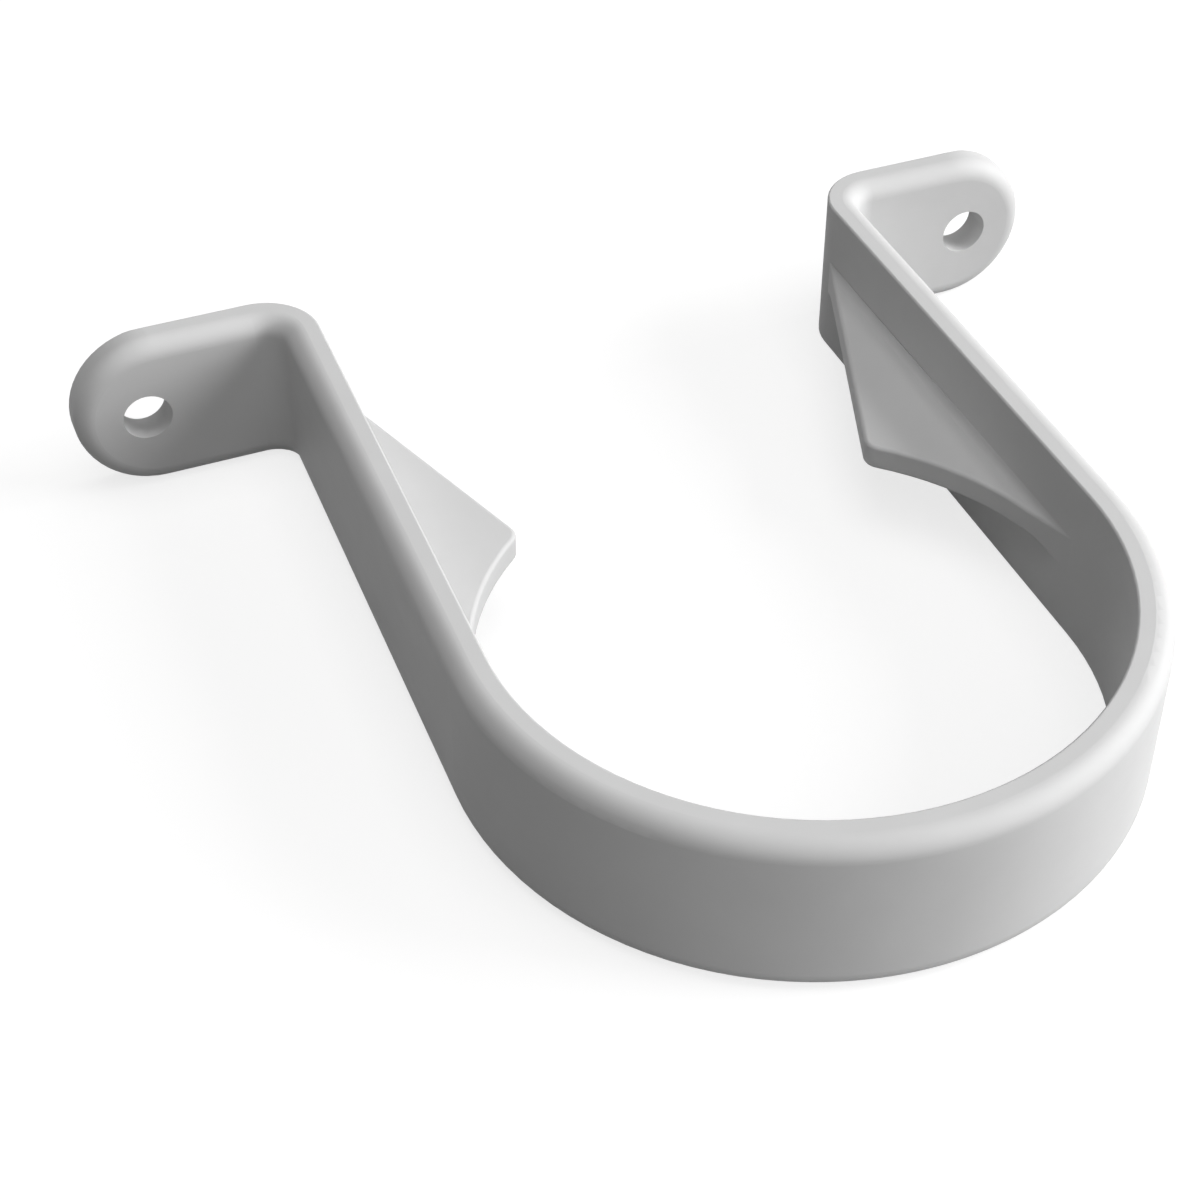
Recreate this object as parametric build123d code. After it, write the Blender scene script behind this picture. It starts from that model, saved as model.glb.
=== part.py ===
"""Clip that holds a round downpipe to a wall, moulded in one piece.

Seen from above, a band goes round the front half of the pipe, two legs run back
to the wall, and each leg bends outwards into an ear with a screw hole. A flat
wing on the inside of each leg, at mid-height, holds the pipe from behind.

The origin is on the pipe's axis, level with the clip's lower edge. +Z runs up
along the pipe, +Y points at the wall, and +X is to the right as seen from the
front. Lengths are in millimetres and angles in degrees.
"""

from build123d import *
import math
import os

# The pipe and its seat
pipe_diameter = 68.0
seat_clearance = 0.25
pipe_axis_to_wall = 68.7

# The strap that makes the band, the legs and the bends
strap_height = 20.0
strap_thickness = 4.0
leg_lean = 1.0
bend_radius = 3.0

# The ears and their screw holes
ear_thickness = 4.0
hole_spacing = 108.0
hole_diameter = 5.9
hole_to_tip = 8.5

# The wings behind the pipe
wing_thickness = 3.2
wing_relief = 0.05
wing_tip_angle = 51.7
wing_tip_radius = 2.0
wing_root_fillet = 1.0
wing_edge_fillet = 0.5

# The strap's rounded edges, on the screw side and on the side of the pipe and wall
screw_side_fillet = 2.2
pipe_side_fillet = 0.3

# How deep a wing's root is sunk into its leg, and how closely edges are matched to a line
root_sink = 1.6
match_tolerance = 0.01

seat_radius = pipe_diameter / 2 + seat_clearance
wing_arc_radius = seat_radius + wing_relief
mid_height = strap_height / 2
wing_top = mid_height + wing_thickness / 2
ear_front_y = pipe_axis_to_wall - ear_thickness
ear_tip_x = hole_spacing / 2 + hole_to_tip

# A leg leaves the band at a tangent and then bends round to the line of the wall
band_angle = 90 + leg_lean
leg_normal = Vector(1, 0).rotate(Axis.Z, leg_lean)
leg_direction = Vector(0, 1).rotate(Axis.Z, leg_lean)
wall_bend_radius = bend_radius + strap_thickness
wall_bend_setback = wall_bend_radius * math.tan(math.radians(band_angle / 2))


def leg_point(face_radius, y):
    """Point at the given y on the right leg's face that is tangent to a circle."""
    start = leg_normal * face_radius
    return start + leg_direction * ((y - start.Y) / leg_direction.Y)


def strap_line(face_radius, y, radius):
    """Right half of one face of the strap in plan, from the band's middle to the ear's tip."""
    band = CenterArc((0, 0), face_radius, -90, band_angle)
    leg_and_ear = FilletPolyline(band @ 1, leg_point(face_radius, y), (ear_tip_x, y), radius=radius)
    return Curve() + band + leg_and_ear


def with_mirror_image(shape):
    """The shape and its mirror image on the left of the pipe's axis."""
    return shape + mirror(shape, about=Plane.YZ)


def edges_over(body, line):
    """Edges of the body that lie over a line in plan, apart from upright ones."""
    def is_over(edge):
        middle = edge @ 0.5
        return line.distance_to((middle.X, middle.Y, 0)) < match_tolerance

    return body.edges().filter_by(Axis.Z, reverse=True).filter_by(is_over)


def make_strap():
    """Band, legs and ears with their rounded edges.

    The ears get their round ends between the two fillets, so that only the edge on
    the screw side is rounded there.
    """
    pipe_side = strap_line(seat_radius, pipe_axis_to_wall, wall_bend_radius)
    screw_side = strap_line(seat_radius + strap_thickness, ear_front_y, bend_radius)
    ends = Line(pipe_side @ 0, screw_side @ 0) + Line(pipe_side @ 1, screw_side @ 1)
    plan = with_mirror_image(make_face(pipe_side + screw_side + ends))
    front_view = Plane.XZ * Pos(0, mid_height) * SlotOverall(2 * ear_tip_x, strap_height)

    strap = extrude(plan, strap_height)
    strap = fillet(edges_over(strap, with_mirror_image(pipe_side)), pipe_side_fillet)
    strap &= extrude(front_view, 2 * pipe_axis_to_wall, both=True)
    return fillet(edges_over(strap, with_mirror_image(screw_side)), screw_side_fillet)


def make_screw_hole():
    """Drill that cuts the right ear's screw hole."""
    place = Pos(hole_spacing / 2, ear_front_y + ear_thickness / 2, mid_height) * Rot(X=90)
    return place * Cylinder(hole_diameter / 2, 2 * ear_thickness)


def make_wing():
    """Right wing: a section with a flared root, run along the leg and cut to its plan."""
    foot = leg_normal * seat_radius
    apex = leg_point(seat_radius, pipe_axis_to_wall) - leg_direction * wall_bend_setback
    tip = Vector(wing_arc_radius, 0).rotate(Axis.Z, wing_tip_angle)
    sink = leg_normal * root_sink

    plan = make_face(Polyline((0, 0), tip, apex, apex + sink, foot + sink, close=True))
    plan -= Circle(wing_arc_radius)
    plan = fillet(plan.vertices().sort_by_distance(tip)[0], wing_tip_radius)
    outer_edges = plan.edges().filter_by(lambda edge: (edge @ 0.5).dot(leg_normal) < seat_radius)

    sunk_height = 2 * (wing_top - mid_height + 2 * wing_root_fillet)
    section = Rectangle(seat_radius, wing_thickness, align=(Align.MIN, Align.CENTER))
    section += Rectangle(root_sink, sunk_height, align=(Align.MAX, Align.CENTER))
    inside_corners = section.vertices().filter_by_position(Axis.X, -match_tolerance, match_tolerance)
    section = fillet(inside_corners.sort_by(SortBy.DISTANCE)[:2], wing_root_fillet)

    across_leg = Plane(foot + Vector(0, 0, mid_height), x_dir=-leg_normal, z_dir=leg_direction)
    wing = extrude(across_leg * section, (apex - foot).length) & extrude(plan, strap_height)

    wing_bottom = strap_height - wing_top
    flat_edges = edges_over(wing, Curve() + outer_edges).filter_by_position(
        Axis.Z, wing_bottom - match_tolerance, wing_top + match_tolerance)
    return fillet(flat_edges, wing_edge_fillet)


pipe_clip = make_strap() + with_mirror_image(make_wing()) - with_mirror_image(make_screw_hole())

os.makedirs("parts", exist_ok=True)
export_step(pipe_clip, "parts/pipe_clip.step")
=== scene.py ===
"""Downpipe clip: finish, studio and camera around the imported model, in metres."""

import math

import bpy
from mathutils import Matrix, Vector

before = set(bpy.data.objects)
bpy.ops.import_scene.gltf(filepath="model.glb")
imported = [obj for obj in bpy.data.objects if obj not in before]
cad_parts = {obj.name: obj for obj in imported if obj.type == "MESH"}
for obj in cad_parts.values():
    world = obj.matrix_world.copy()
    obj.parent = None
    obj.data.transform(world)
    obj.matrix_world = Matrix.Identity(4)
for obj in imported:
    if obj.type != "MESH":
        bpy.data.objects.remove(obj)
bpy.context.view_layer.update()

MM = 0.001
WHITE = (1, 1, 1, 1)

# Directions from the clip are given as azimuth from +X towards +Y and elevation, in degrees

# The camera: its direction, its distance from the point that it looks at, and its lens in mm
CAMERA_AZIMUTH = -111.59
CAMERA_ELEVATION = 41.44
CAMERA_DISTANCE = 283.8 * MM
CAMERA_TARGET = (-12.31 * MM, 25.38 * MM, 0.0)
CAMERA_LENS = 74.60
CAMERA_SENSOR = 36.0

# The lamps: azimuth, elevation, distance, side of the square, and power in watts
LAMP_TARGET = (0.0, 0.02, 0.01)
LAMPS = {
    "key": (-20, 30, 2.0, 1.0, 27.2),
    "side": (0, 12, 2.0, 0.5, 12.1),
    "low": (-50, 10, 2.0, 1.3, 15.5),
    "front": (-95, 45, 2.0, 1.3, 7.0),
    "overhead": (0, 90, 2.0, 1.5, 12.8),
}
AMBIENT = 0.13

# The floor's half-width, and how far it lies below the clip's lower edge
FLOOR_HALF = 3.0
FLOOR_DROP = 0.02 * MM

# What the floor sends back to the clip, and what the eye sees of it: near the clip a shaded
# part with a glow added, turning to plain white from one distance to another
FLOOR_BOUNCE = 0.22
FLOOR_SHADE = 0.35
FLOOR_GLOW = 0.75
FLOOR_WHITE_FROM = 0.25
FLOOR_WHITE_TO = 0.50

# The clip's rigid plastic: its grey, how far that wanders, and how matt it is
GREY = 0.62
GREY_SPREAD = 0.012
GLOSS_ROUGHNESS = 0.60
ROUGHNESS_SPREAD = 0.05
SPECULAR_LEVEL = 0.25

# Its texture: sizes of the grain, of the cloudiness and of the mould's polishing marks
GRAIN_SIZE = 0.25 * MM
CLOUD_SIZE = 9.0 * MM
POLISH_SIZE = 0.6 * MM
POLISH_STRETCH = 14.0
GRAIN_HEIGHT = 0.0035 * MM
POLISH_HEIGHT = 0.002 * MM

# Nearly all of the noise lies between these values
NOISE_LOW = 0.25
NOISE_HIGH = 0.75


def direction(azimuth, elevation):
    """Unit vector that points away from the clip."""
    azimuth = math.radians(azimuth)
    elevation = math.radians(elevation)
    return Vector((math.cos(azimuth) * math.cos(elevation),
                   math.sin(azimuth) * math.cos(elevation),
                   math.sin(elevation)))


def add_camera():
    """Camera at the photograph's viewing angle."""
    back = direction(CAMERA_AZIMUTH, CAMERA_ELEVATION)
    right = (-back).cross(Vector((0, 0, 1))).normalized()
    up = back.cross(right)
    data = bpy.data.cameras.new("camera")
    data.lens = CAMERA_LENS
    data.sensor_width = CAMERA_SENSOR
    camera = bpy.data.objects.new("camera", data)
    turn = Matrix((right, up, back)).transposed().to_4x4()
    place = Vector(CAMERA_TARGET) + back * CAMERA_DISTANCE
    camera.matrix_world = Matrix.Translation(place) @ turn
    bpy.context.scene.collection.objects.link(camera)
    bpy.context.scene.camera = camera


def add_lamp(name, azimuth, elevation, distance, size, watts):
    """Square area lamp in a direction from the clip, aimed at it."""
    away = direction(azimuth, elevation)
    data = bpy.data.lights.new(name, "AREA")
    data.shape = "SQUARE"
    data.size = size
    data.energy = watts
    lamp = bpy.data.objects.new(name, data)
    lamp.location = Vector(LAMP_TARGET) + away * distance
    lamp.rotation_mode = "QUATERNION"
    lamp.rotation_quaternion = away.to_track_quat("Z", "Y")
    bpy.context.scene.collection.objects.link(lamp)


def add_node(tree, kind, operation=None, **inputs):
    """Shader node with some of its inputs set; an underscore in a name stands for a space."""
    node = tree.nodes.new(kind)
    if operation:
        node.operation = operation
    for name, value in inputs.items():
        node.inputs[name.replace("_", " ")].default_value = value
    return node


def seen_directly(tree):
    """Socket that is 1 for camera, glossy and transmission rays, and 0 for the rest."""
    path = add_node(tree, "ShaderNodeLightPath")
    total = path.outputs["Is Camera Ray"]
    for name in ("Is Glossy Ray", "Is Transmission Ray"):
        step = add_node(tree, "ShaderNodeMath", "MAXIMUM")
        tree.links.new(total, step.inputs[0])
        tree.links.new(path.outputs[name], step.inputs[1])
        total = step.outputs["Value"]
    return total


def mixed(tree, factor, first, second):
    """Shader that is the first where the factor is 0 and the second where it is 1."""
    mix = add_node(tree, "ShaderNodeMixShader")
    tree.links.new(factor, mix.inputs[0])
    tree.links.new(first.outputs[0], mix.inputs[1])
    tree.links.new(second.outputs[0], mix.inputs[2])
    return mix


def far_off(tree):
    """Socket that is 0 on the floor round the clip and 1 further away."""
    place = add_node(tree, "ShaderNodeNewGeometry").outputs["Position"]
    distance = add_node(tree, "ShaderNodeVectorMath", "LENGTH")
    ramp = add_node(tree, "ShaderNodeMapRange",
                    From_Min=FLOOR_WHITE_FROM, From_Max=FLOOR_WHITE_TO)
    tree.links.new(place, distance.inputs[0])
    tree.links.new(distance.outputs["Value"], ramp.inputs["Value"])
    return ramp.outputs["Result"]


def diffuse(tree, level):
    """Matt grey shader."""
    return add_node(tree, "ShaderNodeBsdfDiffuse", Color=(level, level, level, 1))


def floor_material():
    """Grey that lights the clip from below, seen as white with the clip's shadow on it."""
    material = bpy.data.materials.new("floor")
    material.use_nodes = True
    tree = material.node_tree
    tree.nodes.clear()
    near = add_node(tree, "ShaderNodeAddShader")
    glow = add_node(tree, "ShaderNodeEmission", Color=WHITE, Strength=FLOOR_GLOW)
    tree.links.new(diffuse(tree, FLOOR_SHADE).outputs[0], near.inputs[0])
    tree.links.new(glow.outputs[0], near.inputs[1])
    far = add_node(tree, "ShaderNodeEmission", Color=WHITE, Strength=1.0)
    seen = mixed(tree, far_off(tree), near, far)
    surface = mixed(tree, seen_directly(tree), diffuse(tree, FLOOR_BOUNCE), seen)
    output = add_node(tree, "ShaderNodeOutputMaterial")
    tree.links.new(surface.outputs[0], output.inputs["Surface"])
    return material


def add_floor():
    """Plain floor just under the clip."""
    mesh = bpy.data.meshes.new("floor")
    corners = [(x * FLOOR_HALF, y * FLOOR_HALF, -FLOOR_DROP)
               for x, y in ((-1, -1), (1, -1), (1, 1), (-1, 1))]
    mesh.from_pydata(corners, [], [(0, 1, 2, 3)])
    mesh.materials.append(floor_material())
    floor = bpy.data.objects.new("floor", mesh)
    bpy.context.scene.collection.objects.link(floor)


def light_world():
    """Dim, even light on the clip from all round, behind a white background."""
    world = bpy.context.scene.world or bpy.data.worlds.new("world")
    bpy.context.scene.world = world
    world.use_nodes = True
    tree = world.node_tree
    tree.nodes.clear()
    ambient = add_node(tree, "ShaderNodeBackground", Color=WHITE, Strength=AMBIENT)
    background = add_node(tree, "ShaderNodeBackground", Color=WHITE, Strength=1.0)
    surface = mixed(tree, seen_directly(tree), ambient, background)
    output = add_node(tree, "ShaderNodeOutputWorld")
    tree.links.new(surface.outputs[0], output.inputs["Surface"])


def noise(tree, place, size, detail, roughness):
    """Noise of a given feature size, in metres, as a socket that runs from 0 to 1."""
    texture = add_node(tree, "ShaderNodeTexNoise",
                       Scale=1 / size, Detail=detail, Roughness=roughness)
    tree.links.new(place, texture.inputs["Vector"])
    return texture.outputs["Fac"]


def stretched(tree, place, stretch):
    """Coordinates in which noise is drawn out level, into streaks that run round the clip."""
    mapping = add_node(tree, "ShaderNodeMapping", Scale=(1 / stretch, 1 / stretch, 1))
    tree.links.new(place, mapping.inputs["Vector"])
    return mapping.outputs["Vector"]


def spread(tree, factor, middle, reach):
    """Socket that turns noise into values round a middle."""
    ramp = add_node(tree, "ShaderNodeMapRange", From_Min=NOISE_LOW, From_Max=NOISE_HIGH,
                    To_Min=middle - reach, To_Max=middle + reach)
    tree.links.new(factor, ramp.inputs["Value"])
    return ramp.outputs["Result"]


def bump(tree, height, distance, below=None):
    """Bump of a given height, in metres, on top of another bump if there is one."""
    node = add_node(tree, "ShaderNodeBump", Strength=1.0, Distance=distance)
    tree.links.new(height, node.inputs["Height"])
    if below:
        tree.links.new(below, node.inputs["Normal"])
    return node.outputs["Normal"]


def clip_plastic():
    """Satin grey plastic with a fine moulded grain and the mould's faint polishing marks."""
    material = bpy.data.materials.new("clip plastic")
    material.use_nodes = True
    tree = material.node_tree
    shader = tree.nodes["Principled BSDF"]
    shader.inputs["Specular IOR Level"].default_value = SPECULAR_LEVEL
    place = add_node(tree, "ShaderNodeTexCoord").outputs["Object"]

    cloud = noise(tree, place, CLOUD_SIZE, detail=3, roughness=0.5)
    grain = noise(tree, place, GRAIN_SIZE, detail=4, roughness=0.6)
    streaks = stretched(tree, place, POLISH_STRETCH)
    polish = noise(tree, streaks, POLISH_SIZE, detail=2, roughness=0.5)

    grey = add_node(tree, "ShaderNodeCombineColor")
    level = spread(tree, cloud, GREY, GREY_SPREAD)
    for channel in ("Red", "Green", "Blue"):
        tree.links.new(level, grey.inputs[channel])
    roughness = spread(tree, polish, GLOSS_ROUGHNESS, ROUGHNESS_SPREAD)
    relief = bump(tree, grain, GRAIN_HEIGHT, bump(tree, polish, POLISH_HEIGHT))
    tree.links.new(grey.outputs["Color"], shader.inputs["Base Color"])
    tree.links.new(roughness, shader.inputs["Roughness"])
    tree.links.new(relief, shader.inputs["Normal"])
    return material


def finish_clip():
    """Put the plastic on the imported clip."""
    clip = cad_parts["pipe_clip"]
    clip.data.materials.clear()
    clip.data.materials.append(clip_plastic())


finish_clip()
add_camera()
add_floor()
light_world()
for lamp_name, lamp in LAMPS.items():
    add_lamp(lamp_name, *lamp)

bpy.context.scene.view_settings.view_transform = "Standard"
